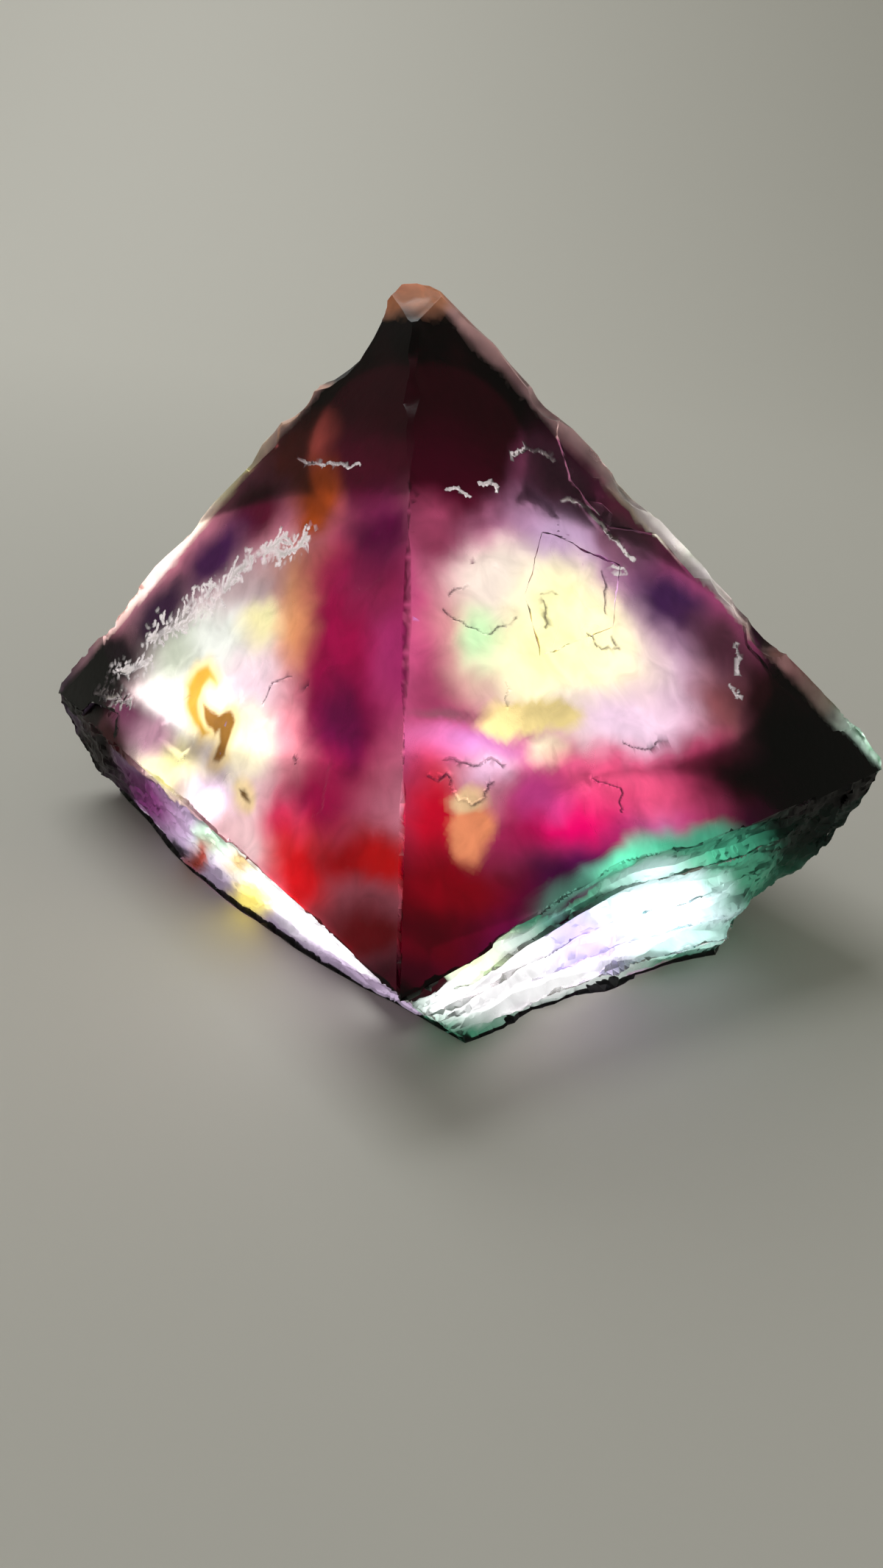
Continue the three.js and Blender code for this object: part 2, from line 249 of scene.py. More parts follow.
FOOT_TOP = 0.3  # mm; what is lower belongs to the flat break
FRONT_HALF = 8.0  # mm; what has a lower y is seen from the front
LONGEST = {"back": 2.2, "foot": 6.0, "frost": 0.55, "line": 0.4}  # mm
SIDE_EDGES = [  # side, depth under its plane, longest edge, mm
    (front_right, 2.5, 1.1), (front_left, 2.5, 1.1), (wall_right, 9, 0.85), (wall_left, 9, 0.9),
]


def longest_edge(middle):
    """The longest edge allowed round each point: finest along the cracks, fine in front, coarse behind."""
    allowed = np.full(len(middle), LONGEST["back"])
    allowed[middle[:, 2] < FOOT_TOP] = LONGEST["foot"]
    for side, reach, most in SIDE_EDGES:
        height = side.place(middle)[2]
        on_side = (np.abs(height) < reach) & (middle[:, 2] > FOOT_TOP) & (middle[:, 1] < FRONT_HALF)
        allowed[on_side] = np.minimum(allowed[on_side], most)
    allowed[crack_gap(middle, frosted) < 1] = LONGEST["frost"]
    allowed[crack_gap(middle, silver + dark + fine_edges) < 2.6] = LONGEST["line"]
    return allowed


def refine(most_rounds):
    """Splits every edge that is longer than its place allows, and makes good triangles of the pieces."""
    mesh = crystal.data
    for _ in range(most_rounds):
        points = points_of(mesh)
        ends = np.empty(len(mesh.edges) * 2, dtype=np.int32)
        mesh.edges.foreach_get("vertices", ends)
        ends = ends.reshape(-1, 2)
        length = np.linalg.norm(points[ends[:, 0]] - points[ends[:, 1]], axis=1)
        too_long = length > longest_edge(points[ends].mean(axis=1))
        if not too_long.any():
            break
        bpy.ops.object.mode_set(mode="EDIT")
        bpy.ops.mesh.select_mode(type="EDGE")
        bpy.ops.mesh.select_all(action="DESELECT")
        bpy.ops.object.mode_set(mode="OBJECT")
        mesh.edges.foreach_set("select", too_long)
        bpy.ops.object.mode_set(mode="EDIT")
        bpy.ops.mesh.subdivide(number_cuts=1)
        bpy.ops.mesh.select_all(action="SELECT")
        bpy.ops.mesh.quads_convert_to_tris(quad_method="BEAUTY", ngon_method="BEAUTY")
        bpy.ops.mesh.beautify_fill(angle_limit=FLAT)
        bpy.ops.mesh.dissolve_degenerate(threshold=SAME_PLACE)
        bpy.ops.mesh.quads_convert_to_tris(quad_method="BEAUTY", ngon_method="BEAUTY")
        bpy.ops.object.mode_set(mode="OBJECT")


refine(9)

# Relief of the fluorite's skin. Cleavage leaves low flat terraces whose steps run along the crystal's own
# directions, cracks open to the surface as thin grooves, and the lower walls, broken across the cleavage, are
# rough and splintery. All of it is cut inwards.
TERRACES = [  # side, middle x and y, reach and depth in mm, turn in degrees
    (front_right, 41, 47, 5.5, 0.16, 8), (front_right, 33, 38, 6.5, 0.12, 60),
    (front_right, 24, 52, 4.5, 0.12, -52), (front_right, 55, 36, 6.0, 0.14, 8),
    (front_right, 48, 25, 7.0, 0.10, 66), (front_right, 28, 20, 4.0, 0.14, 8),
    (front_right, 62, 22, 4.5, 0.14, -54), (front_right, 38, 12, 6.0, 0.10, 8),
    (front_right, 52, 47, 3.4, 0.2, 60), (front_left, 30, 20, 6.0, 0.12, 0),
    (front_left, 44, 30, 5.0, 0.12, 60), (front_left, 52, 20, 6.5, 0.10, 0),
    (front_left, 60, 40, 4.5, 0.12, -60), (front_left, 37, 8, 5.0, 0.12, 0),
    (front_left, 66, 14, 5.0, 0.10, 60), (back_right, 45, 30, 16, 0.3, 0),
    (back_right, 60, 18, 9, 0.35, 60), (back_right, 30, 48, 9, 0.25, -60),
    (back_left, 40, 30, 15, 0.3, 60), (back_left, 58, 16, 9, 0.35, 0),
    (back_left, 28, 18, 8, 0.25, -60),
]
points = points_of(crystal.data)
normals = np.empty(len(crystal.data.vertices) * 3)
crystal.data.vertices.foreach_get("normal", normals)
normals = normals.reshape(-1, 3)
depth = np.zeros(len(points))


def noise_at(places, scale, seed):
    """Smooth noise from -1 to 1 at each place, with features about `scale` mm across."""
    shift = Vector((seed, 2.3 * seed, -1.7 * seed))
    return np.array([noise.noise(Vector(place / scale) + shift) for place in places])


FACE_REACH = 2.6  # mm under a face's plane that still belong to the face
STEP_WIDTH = 0.35  # mm over which a terrace falls
wobble = noise_at(points, 3.0, 3.1)
for side, middle_x, middle_y, reach, cut, turn in TERRACES:
    x, y, height = side.place(points)
    on_face = np.abs(height) < FACE_REACH
    inside = np.full(len(points), FAR)
    for index, bearing in enumerate((0, 60, 120, 180, 240, 300)):
        angle = radians(bearing + turn + 30)
        unevenness = ((index * 37 + int(middle_x)) % 5) / 4
        out_to = reach * (0.55 + 0.45 * unevenness)
        edge = out_to - (x - middle_x) * np.cos(angle) - (y - middle_y) * np.sin(angle)
        inside = np.minimum(inside, edge)
    depth += np.where(on_face, cut * smooth(inside + 0.5 * wobble, 0, STEP_WIDTH), 0)

GROOVE_DEPTH = 0.22  # mm
silver_gap = crack_gap(points, silver)
dark_gap = crack_gap(points, dark)
depth = np.maximum(depth, GROOVE_DEPTH * (1 - smooth(np.minimum(silver_gap, dark_gap), 0.2, 1.6)))


def inside_outline(x, y, outline):
    """True where a point lies inside a closed outline."""
    inside = np.zeros(x.shape, dtype=bool)
    for (x0, y0), (x1, y1) in zip(outline, outline[1:] + outline[:1]):
        crosses = (y0 > y) != (y1 > y)
        if y1 != y0:
            inside ^= crosses & (x < (x1 - x0) * (y - y0) / (y1 - y0) + x0)
    return inside


FLAKE_DEPTH = 0.12  # mm
x, y, height = front_right.place(points)
flake = inside_outline(x, y, LAVENDER_FLAKE) & (np.abs(height) < LINE_REACH)
depth[flake] += FLAKE_DEPTH

SIDE_SLOPE = 0.57  # how fast a triangular face narrows on each side as y grows
ROUGH_FROM = 0.4  # mm over the flat break
BROKEN_TO = 34.0  # mm, as high as the broken walls reach
SHARD_LEVELS = 2.2
ROUGH_DEPTH = 0.3  # mm
SHARD_DEPTH = 0.5  # mm
WEAR_DEPTH = 0.22  # mm
upper = np.zeros(len(points), dtype=bool)
for side in (front_right, front_left, back_right, back_left):
    x, y, height = side.place(points)
    on_face = np.abs(height) < FACE_REACH
    inland = np.minimum(y, side.width / 2 - np.abs(x - side.width / 2) - SIDE_SLOPE * y)
    upper |= on_face & ((normals @ side.out > 0.9) | (inland > 4))
broken = ~upper & (points[:, 2] > ROUGH_FROM) & (points[:, 2] < BROKEN_TO)
stretch = points * (1, 1, 2.4)  # splinters on the walls lie flat
rough = np.abs(noise_at(stretch, 7.0, 5.2)) + 0.5 * np.abs(noise_at(stretch, 2.6, 8.8))
shards = np.round(SHARD_LEVELS * noise_at(stretch, 3.6, 15.2)) / SHARD_LEVELS
shards += np.round(SHARD_LEVELS * noise_at(stretch, 1.9, 17.2)) / (2 * SHARD_LEVELS)
depth += np.where(broken, ROUGH_DEPTH * rough + SHARD_DEPTH * (shards + 0.9), 0)
worn = ~upper & ~broken & (points[:, 2] > ROUGH_FROM)
depth += np.where(worn, WEAR_DEPTH * np.abs(noise_at(points, 1.8, 4.4)), 0)
moved = points - normals * depth[:, None]

# The points drift along their face, so that straight steps turn ragged.
DRIFT = 0.6  # mm
for side in (front_right, front_left, back_right, back_left):
    x, y, height = side.place(points)
    inland = np.minimum(y, side.width / 2 - np.abs(x - side.width / 2) - SIDE_SLOPE * y)
    ragged = DRIFT * smooth(inland, 3, 7) * ((np.abs(height) < FACE_REACH) & (normals @ side.out > 0.3))
    drift_x = noise_at(points, 2.6, 41.0) * ragged
    drift_y = noise_at(points, 2.6, 43.0) * ragged
    moved += drift_x[:, None] * side.along + drift_y[:, None] * side.up
# The shallow scar in the middle of the right face fades out in places.
x, y, height = front_right.place(moved)
scar = (height < -0.1) & (height > -2.2) & (x > 34) & (x < 54) & (y > 26) & (y < 50)
healed = smooth(noise_at(points, 5.0, 47.0), -0.25, 0.15) * scar
moved -= (height * healed)[:, None] * front_right.out

moved[:, 2] = np.maximum(moved[:, 2], 0)
crystal.data.vertices.foreach_set("co", (moved * MM).ravel())
crystal.data.update()

# Colour of the fluorite, with painted light in it. It grew in layers of purple, magenta, cream and green parallel
# to cube faces, and ochre mud is sealed in near the left corner. The corners are nearly black and the middle is
# pale: partly that zoning, partly painted shade where the light from below does not reach and painted glow where
# it comes through.
# Each colour is what the eye sees where light comes through.


def linear(hex_colour):
    """An sRGB hex colour as linear values."""
    values = [int(hex_colour[place:place + 2], 16) / 255 for place in (0, 2, 4)]
    return np.array([v / 12.92 if v <= 0.04045 else ((v + 0.055) / 1.055) ** 2.4 for v in values])


# Each patch: middle x and y, half-length and half-width in mm on its side, turn in degrees, softness, colour. The
# colours
# are zoning with painted light in them: cream to white as painted glow where light from below comes through, near
# black as painted shade where it does not reach.
RIGHT_ZONES_AND_UNDERGLOW = [
    (39.0, 34.0, 39.0, 30.5, 7, 0.3, "A04870"), (21.0, 37.5, 15.5, 7.0, 64, 0.8, "B84C74"),
    (18.0, 31.0, 6.0, 4.5, -6, 0.8, "903858"), (38.0, 50.0, 12.5, 7.5, -20, 0.7, "905070"),
    (31.0, 47.5, 6.5, 5.5, 15, 0.8, "C8789A"), (44.5, 43.0, 10.0, 8.0, -33, 0.7, "B496B4"),
    (52.5, 30.0, 12.5, 8.0, -42, 0.7, "B488A8"), (55.5, 21.5, 10.0, 6.5, -19, 0.8, "BCA0B4"),
    (60.5, 17.0, 9.5, 7.5, 43, 0.8, "784448"), (37.5, 30.5, 16.0, 11.0, -24, 0.7, "F8F6C8"),
    (33.5, 41.0, 10.0, 6.0, -15, 0.7, "E0D4C4"), (27.0, 35.5, 4.5, 3.5, 53, 0.8, "C0E8B0"),
    (39.0, 32.5, 11.0, 9.0, 35, 0.7, "FFFBB8"), (43.5, 20.0, 12.5, 5.0, -22, 0.8, "D8C0D0"),
    (20.0, 23.0, 7.5, 3.0, -24, 0.8, "B878B0"), (20.0, 18.5, 7.0, 4.5, -14, 0.8, "C898A0"),
    (21.0, 20.0, 4.0, 2.0, -15, 0.8, "D8B0C8"), (30.0, 19.5, 3.0, 2.0, -6, 0.8, "D0D8B0"),
    (41.0, 12.0, 15.0, 5.0, -25, 0.8, "D85078"), (52.5, 9.5, 8.0, 6.5, 9, 0.8, "8E2C4C"),
    (58.5, 6.0, 8.0, 5.0, -5, 0.8, "1C0008"), (28.5, 11.0, 14.0, 5.5, -18, 0.8, "A80048"),
    (26.5, 15.0, 5.5, 3.5, -13, 0.8, "B03878"), (29.5, 4.0, 14.5, 5.0, -8, 0.8, "380430"),
    (17.5, 2.0, 11.0, 5.0, -5, 0.8, "3C0430"), (12.5, 17.5, 8.5, 5.5, 63, 0.8, "C00828"),
    (11.0, 9.0, 10.5, 6.0, -19, 0.8, "780010"), (5.5, 4.0, 8.5, 5.0, -21, 0.8, "40000A"),
    (2.5, 1.0, 8.0, 3.0, -23, 0.8, "240008"), (16.5, 14.5, 4.5, 3.0, 62, 0.35, "E08C60"),
    (17.5, 18.0, 3.0, 1.5, -16, 0.5, "E0C090"), (33.5, 63.5, 18.5, 14.0, 22, 0.35, "1C0106"),
    (30.5, 54.5, 10.0, 8.0, -7, 0.8, "300010"), (25.5, 49.0, 5.5, 4.5, 17, 0.8, "783048"),
    (49.5, 53.0, 6.0, 5.0, -30, 0.6, "845468"), (54.5, 42.5, 7.0, 5.0, -52, 0.6, "6C4658"),
    (58.5, 32.5, 9.0, 6.0, -38, 0.7, "34183C"), (64.5, 24.5, 8.0, 6.0, -30, 0.8, "40202C"),
    (71.0, 15.0, 10.5, 8.0, -13, 0.6, "1A0408"), (75.0, 4.5, 14.5, 7.0, -35, 0.5, "060102"),
    (29.5, 24.5, 8.5, 2.5, -12, 0.25, "D0C080"), (19.0, 28.0, 5.5, 1.0, -16, 0.8, "804858"),
    (24.5, 2.2, 5.0, 1.8, 0, 0.9, "48685C"), (30.0, 2.8, 7.0, 2.0, 5, 0.9, "48806C"),
    (36.0, 3.4, 5.0, 2.2, 5, 0.9, "58C89C"), (43.0, 2.8, 7.0, 2.0, -5, 0.9, "44A480"),
    (49.0, 1.8, 6.0, 1.8, -8, 0.9, "3C9070"),
]
LEFT_ZONES_AND_UNDERGLOW = [
    (56.0, 23.0, 59.0, 37.5, 11, 0.3, "B87080"), (38.0, 30.0, 13.0, 7.0, 26, 0.8, "9C8888"),
    (50.0, 36.0, 9.0, 5.5, 5, 0.8, "906450"), (39.0, 12.5, 21.5, 15.0, 5, 0.7, "F6F6EE"),
    (31.0, 18.0, 11.0, 6.0, 15, 0.8, "B0B8A4"), (38.0, 22.5, 10.0, 5.0, 14, 0.8, "D0D8CC"),
    (45.0, 27.0, 6.0, 3.5, 17, 0.8, "DCD8A0"), (53.0, 29.5, 7.5, 5.0, -39, 0.8, "D89C64"),
    (50.5, 17.5, 9.0, 7.0, -22, 0.8, "DCC4CC"), (39.0, 3.5, 9.0, 4.5, 15, 0.8, "FDFCB0"),
    (49.5, 4.5, 8.0, 3.0, 15, 0.8, "E0CCE0"), (51.5, 12.5, 7.0, 5.5, -12, 0.8, "FEF8CC"),
    (60.0, 16.5, 10.5, 5.0, -50, 0.8, "D08890"), (61.0, 4.5, 9.0, 5.5, 20, 0.7, "F0C8C8"),
    (63.5, 29.0, 24.5, 10.5, -56, 0.6, "840438"), (70.0, 34.5, 15.5, 5.5, -53, 0.8, "902458"),
    (62.5, 39.0, 8.0, 5.5, 4, 0.8, "74183C"), (67.5, 22.0, 7.5, 6.0, -29, 0.8, "500430"),
    (69.0, 12.5, 8.0, 5.5, 18, 0.8, "90043C"), (65.0, 7.5, 5.0, 4.0, 6, 0.8, "D03C68"),
    (71.5, 3.5, 9.0, 6.0, -24, 0.7, "E00C18"), (78.5, 9.5, 11.0, 5.0, 26, 0.8, "90000C"),
    (83.0, 11.5, 4.5, 3.5, 21, 0.8, "A8080C"), (85.5, 3.5, 13.0, 6.0, 29, 0.8, "500008"),
    (92.0, 1.0, 10.0, 4.0, 32, 0.8, "26000A"), (48.0, 57.5, 19.5, 11.5, -3, 0.35, "1E0208"),
    (50.5, 49.5, 13.0, 6.5, 7, 0.8, "3C0418"), (59.5, 45.0, 8.0, 5.5, 1, 0.8, "44042A"),
    (36.5, 50.0, 7.5, 5.0, 30, 0.7, "8C3C34"), (34.0, 40.5, 9.0, 5.5, 26, 0.7, "44061E"),
    (44.5, 45.5, 7.0, 4.5, -29, 0.6, "702C0C"), (45.5, 41.5, 4.0, 2.5, 3, 0.8, "803408"),
    (28.5, 32.0, 8.5, 5.0, 40, 0.7, "341038"), (21.5, 21.0, 11.0, 6.0, 45, 0.7, "281028"),
    (14.0, 9.5, 11.5, 6.5, 32, 0.6, "12040E"), (7.5, 3.0, 15.0, 8.0, 24, 0.5, "060104"),
    (20.5, -1.0, 9.5, 5.5, 19, 0.7, "32030C"), (25.0, 5.0, 8.0, 3.0, 10, 0.8, "803C60"),
    (31.5, 5.0, 6.5, 3.0, 11, 0.8, "DCA8BC"),
]
# The lower walls: green and lavender zoning with painted glow, white near the flat break where light comes up.
RIGHT_WALL_ZONES_AND_UNDERGLOW = [
    (45.0, 10.0, 60.0, 30.0, 0, 0.3, "3C7C60"), (18.5, 9.5, 18.0, 7.0, 28, 0.7, "FFFFFF"),
    (29.5, 14.0, 16.0, 6.0, 23, 0.7, "FFFFFF"), (11.0, -0.5, 6.5, 4.0, 30, 0.8, "D8F0B0"),
    (33.0, 10.0, 10.0, 5.0, 36, 0.8, "D0C0F8"), (47.5, 11.5, 15.0, 6.5, 33, 0.8, "E0F8FC"),
    (31.5, -7.5, 10.0, 3.0, 21, 0.7, "58D0A0"), (46.0, -2.5, 11.0, 2.5, 19, 0.8, "2C9C74"),
    (72.5, 3.0, 22.5, 10.0, 23, 0.6, "0C2C20"), (55.0, 1.5, 10.5, 4.5, 25, 0.8, "3C9070"),
    (82.0, -4.0, 8.0, 2.5, 30, 0.8, "7CCCA0"),
]
LEFT_WALL_ZONES_AND_UNDERGLOW = [
    (50.0, 10.0, 70.0, 30.0, 0, 0.3, "8A7A90"), (74.5, 3.5, 19.5, 8.5, -23, 0.6, "FFFFFF"),
    (61.0, 0.0, 16.5, 5.5, -39, 0.7, "FBFFF4"), (51.0, 2.5, 16.0, 3.0, -41, 0.7, "98B49C"),
    (53.0, 14.0, 10.0, 3.0, -41, 0.8, "F8E478"), (54.5, 6.0, 7.5, 2.0, -41, 0.8, "B8A070"),
    (40.0, 13.0, 10.5, 2.0, -41, 0.8, "7C3028"), (25.0, 9.5, 16.5, 7.5, -27, 0.7, "54204C"),
    (9.5, 8.5, 17.5, 6.0, -32, 0.7, "280610"),
]
# The growth layers on the other sides: how near a corner, from 0.33 in a face's middle to 1, and the colour. The
# pale middle is partly painted glow of the light from below, and the near-black corners are partly painted shade.
GROWTH_AND_UNDERGLOW = [
    (0.33, "F4EED8"), (0.42, "E6CCE0"), (0.48, "C080B8"), (0.54, "8A2470"), (0.60, "4A0838"),
    (0.70, "1E0212"), (1.0, "080104"),
]
# The worn edges, with painted glow of the light from below along them: distance from the top corner in mm, and
# the colour.
RIGHT_EDGE_WEAR_AND_GLOW = [
    (0, "9C5830"), (8, "8A5E50"), (20, "7A5048"), (25, "C09080"), (31, "D89888"), (36, "E09C88"),
    (42, "E8DCB0"), (50, "D0E4B8"), (56, "A4A498"), (66, "6C4A40"), (76, "6A3A34"), (84, "5C5A40"),
    (90, "8CC8A0"),
]
LEFT_EDGE_WEAR_AND_GLOW = [
    (0, "9C5830"), (8, "A06848"), (18, "D09880"), (24, "C8987C"), (30, "C8A080"), (39, "E8D878"),
    (44, "D8B088"), (56, "D0A098"), (66, "C8907C"), (76, "6C3C44"), (84, "180A14"),
]

tint = np.empty((len(points), 3))
steps = np.array([level for level, _ in GROWTH_AND_UNDERGLOW])
layer_and_glow_colours = np.array([linear(colour) for _, colour in GROWTH_AND_UNDERGLOW])
opposite = (("right", "left"), ("back", "front"))
axes = [np.array(CORNER[one]) - np.array(CORNER[other]) for one, other in opposite]
axes.append(np.cross(*axes))
corner_reach = EDGE / np.sqrt(2)  # mm from the middle to a corner
axes = [axis / np.linalg.norm(axis) for axis in axes]
slow_noise = noise_at(points, 16.0, 1.3)
nearness = np.max([np.abs((points - CENTRE) @ axis) / corner_reach for axis in axes], axis=0)
nearness += 0.05 * slow_noise
for channel in range(3):
    tint[:, channel] = np.interp(nearness, steps, layer_and_glow_colours[:, channel])

# Two warps keep every painted patch from having a drawn outline, in mm.
warp_x = 1.3 * noise_at(points, 7.0, 11.0) + 0.5 * noise_at(points, 2.2, 12.0)
warp_y = 1.3 * noise_at(points, 7.0, 13.0) + 0.5 * noise_at(points, 2.2, 14.0)


def paint(where, colour, strength):
    """Lays a colour over the tint where the strength is above 0."""
    share = strength[:, None]
    tint[where] = tint[where] * (1 - share) + linear(colour) * share


def paint_patches(side, where, patches):
    x, y, height = side.place(points[where])
    x = x + warp_x[where]
    y = y + warp_y[where]
    for middle_x, middle_y, half_length, half_width, turn, softness, colour in patches:
        along, across = np.cos(radians(turn)), np.sin(radians(turn))
        dx, dy = x - middle_x, y - middle_y
        reach = np.hypot((dx * along + dy * across) / half_length, (dy * along - dx * across) / half_width)
        paint(where, colour, 1 - smooth(reach, 1 - softness, 1 + 0.5 * softness))


heights = {name: np.abs(side.place(points)[2]) for name, side in (
    ("right", front_right), ("left", front_left), ("back_right", back_right), ("back_left", back_left))}
nearest_back = np.minimum(heights["back_right"], heights["back_left"])
PAINT_REACH = 2.4  # mm under a face's plane
on_right = np.flatnonzero((heights["right"] < PAINT_REACH) & (heights["right"] <= heights["left"])
                          & (heights["right"] < nearest_back) & (normals @ front_right.out > 0.55))
on_left = np.flatnonzero((heights["left"] < PAINT_REACH) & (heights["left"] < heights["right"])
                         & (heights["left"] < nearest_back) & (normals @ front_left.out > 0.55))
# The front faces: zoning with the painted glow and shade of the light from below.
paint_patches(front_right, on_right, RIGHT_ZONES_AND_UNDERGLOW)
paint_patches(front_left, on_left, LEFT_ZONES_AND_UNDERGLOW)
WALL_REACH = 9.0  # mm behind a wall's plane
WALL_TOP = 30.0  # mm
free = np.ones(len(points), dtype=bool)
free[on_right] = False
free[on_left] = False
towards_right = wall_right.place(points)[2]
towards_left = wall_left.place(points)[2]
low = free & (points[:, 2] > FOOT_TOP) & (points[:, 2] < WALL_TOP)
low &= np.maximum(towards_right, towards_left) > -WALL_REACH
on_wall_right = np.flatnonzero(low & (towards_right >= towards_left))
on_wall_left = np.flatnonzero(low & (towards_right < towards_left))
# The lower walls: zoning with the painted glow of the light from below.
paint_patches(wall_right, on_wall_right, RIGHT_WALL_ZONES_AND_UNDERGLOW)
paint_patches(wall_left, on_wall_left, LEFT_WALL_ZONES_AND_UNDERGLOW)


EDGE_GLOW_BOOST = 1.6  # painted glow: the worn edges' colours are raised above their own, as they look lit from below


def paint_edge(end, colours, width):
    start = np.array(CORNER["top"])
    along = np.array(CORNER[end]) - start
    along = along / np.linalg.norm(along)
    distance = (points - start) @ along
    gap = np.linalg.norm(points - start - distance[:, None] * along, axis=1)
    near = np.flatnonzero(gap < width + 1)
    strength = 1 - smooth(gap[near] + 0.5 * warp_x[near], width - 0.7, width + 0.5)
    places = np.array([place for place, _ in colours])
    shades = np.array([linear(colour) for _, colour in colours])
    for channel in range(3):
        shade = np.interp(distance[near] + 1.5 * warp_y[near], places, EDGE_GLOW_BOOST * shades[:, channel])
        tint[near, channel] = tint[near, channel] * (1 - strength) + shade * strength


# Air in the healed fractures turns them silver and frosty, with painted glints of highlight round the feathered
# ones, open cracks look dark, and the mud is ochre.
CRACK_WIDTH = 1.6  # in widths of the line
patchy = smooth(noise_at(points, 2.4, 31.0), -0.35, 0.1)
veins_and_glints = (1 - smooth(silver_gap, 0.4, 1.4)) * (0.12 + 0.88 * patchy)
# Painted glints: sparse bright specks of highlight along the feathered lines.
glints = smooth(noise_at(points, 0.8, 33.0), 0.2, 0.42) * smooth(noise_at(points, 3.4, 35.0), -0.3, 0.2)
veins_and_glints = np.maximum(veins_and_glints, 0.85 * glints * (1 - smooth(crack_gap(points, frosted), 0.3, 1.1)))
cracked = np.flatnonzero(dark_gap < CRACK_WIDTH)
darkness = 0.85 * (1 - smooth(dark_gap[cracked], 0.4, CRACK_WIDTH)) * (0.3 + 0.7 * patchy[cracked])
paint(cracked, "2A1024", darkness)
x, y, height = front_left.place(points[on_left])
x = x + 0.25 * warp_x[on_left]
y = y + 0.25 * warp_y[on_left]
for outline in (OCHRE_CRESCENT, OCHRE_KNOT, OCHRE_SPOT):
    gap = line_distance(x, y, outline + outline[:1])
    paint(on_left, "F2DA8C", 0.7 * (1 - smooth(gap, 0.3, 2.2)))
for outline, colour, softness in ((OCHRE_CRESCENT, "C89A28", 0.7), (OCHRE_KNOT, "8C5C0C", 0.35),
                                  (OCHRE_SPOT, "5A3C10", 0.3)):
    gap = line_distance(x, y, outline + outline[:1])
    depth_in = np.where(inside_outline(x, y, outline), gap, -gap)
    paint(on_left, colour, 0.95 * smooth(depth_in, -softness, softness))
tint = tint ** 2  # light is coloured on its way in and again on its way out
# The worn edges: their colour with the painted glow of the light from below.
paint_edge("right", RIGHT_EDGE_WEAR_AND_GLOW, 2.5)
paint_edge("left", LEFT_EDGE_WEAR_AND_GLOW, 2.7)

TIP_REACH = 9.0  # mm of bruised orange rock at the top corner
tip = np.linalg.norm(points - np.array(CORNER["top"]), axis=1) + 1.2 * warp_x
near = np.flatnonzero(tip < TIP_REACH)
bruised = 1 - smooth(tip[near], 6, 8.5)
paint(near, "F08C50", 0.9 * bruised)
# The silver veins and the painted glints of highlight.
paint(np.flatnonzero(veins_and_glints > 0), "FBEDE8", veins_and_glints[veins_and_glints > 0])
tint = np.minimum(tint, 0.95)

# How white and closed the surface is, and how far it blurs what lies behind it.
CHALK = {"worn": 0.75, "tip": 0.8}
HAZE = {"cleaved": 0.3, "broken": 0.5, "worn": 0.55, "change": 0.06}
chalky = np.maximum(veins_and_glints, CHALK["worn"] * worn)
chalky[near] = np.maximum(chalky[near], CHALK["tip"] * bruised)
haze = np.full(len(points), HAZE["cleaved"])
haze[broken] = HAZE["broken"]
haze[worn] = HAZE["worn"]
haze += HAZE["change"] * noise_at(points, 5.0, 21.0)

mesh = crystal.data
tint_layer = mesh.color_attributes.new("tint", "FLOAT_COLOR", "POINT")
tint_layer.data.foreach_set("color", np.column_stack([tint, np.ones(len(tint))]).ravel())
haze_layer = mesh.attributes.new("haze", "FLOAT", "POINT")
haze_layer.data.foreach_set("value", haze)
chalky_layer = mesh.attributes.new("chalky", "FLOAT", "POINT")
chalky_layer.data.foreach_set("value", chalky)

# The fluorite itself, a soft clear mineral of low refraction, cleaved and broken. Light passes through its zones
# of colour, with their painted glow and shade, the eye sees soft clouds inside, and the surface keeps a satin
# gloss that bruises turn chalky.
GRAIN_SCALE = 900.0  # a fine skin texture of about 1 mm
CLOUD_SCALE = 240.0  # clouds of about 4 mm
CLOSED = 0.75  # how much of the light a fully chalky spot holds back
fluorite = bpy.data.materials.new("zoned_fluorite_painted_glow")
fluorite.use_nodes = True
nodes = fluorite.node_tree.nodes
links = fluorite.node_tree.links
nodes.clear()


def add(kind, settings=(), **inputs):
    """Adds a node, with settings as attributes and inputs as values or as the sockets that feed them."""
    node = nodes.new(kind)
    for key, value in dict(settings).items():
        setattr(node, key, value)
    for key, value in inputs.items():
        socket = node.inputs[key.replace("_", " ")] if not key.startswith("n") else node.inputs[int(key[1:])]
        if isinstance(value, bpy.types.NodeSocket):
            links.new(value, socket)
        else:
            socket.default_value = value
    return node


place_node = add("ShaderNodeTexCoord")
tint_node = add("ShaderNodeAttribute", {"attribute_name": "tint"})
haze_node = add("ShaderNodeAttribute", {"attribute_name": "haze"})
chalky_node = add("ShaderNodeAttribute", {"attribute_name": "chalky"})
grain = add("ShaderNodeTexNoise", Vector=place_node.outputs["Object"], Scale=GRAIN_SCALE, Detail=4.0)
grain_bump = add("ShaderNodeBump", Height=grain.outputs["Fac"], Strength=0.12, Distance=0.0002)
cloud = add(
    "ShaderNodeTexNoise",
    Vector=place_node.outputs["Object"],
    Scale=CLOUD_SCALE,
    Detail=6.0,
    Distortion=1.0,
)
cloud_range = add(
    "ShaderNodeMapRange",
    Value=cloud.outputs["Fac"],
    From_Min=0.3,
    From_Max=0.7,
    To_Min=0.62,
    To_Max=1.12,
)
clouded = add(
    "ShaderNodeVectorMath",
    {"operation": "SCALE"},
    n0=tint_node.outputs["Color"],
    Scale=cloud_range.outputs[0],
)
clear = add(
    "ShaderNodeMath",
    {"operation": "MULTIPLY_ADD"},
    n0=chalky_node.outputs["Fac"],
    n1=-CLOSED,
    n2=1.0,
)
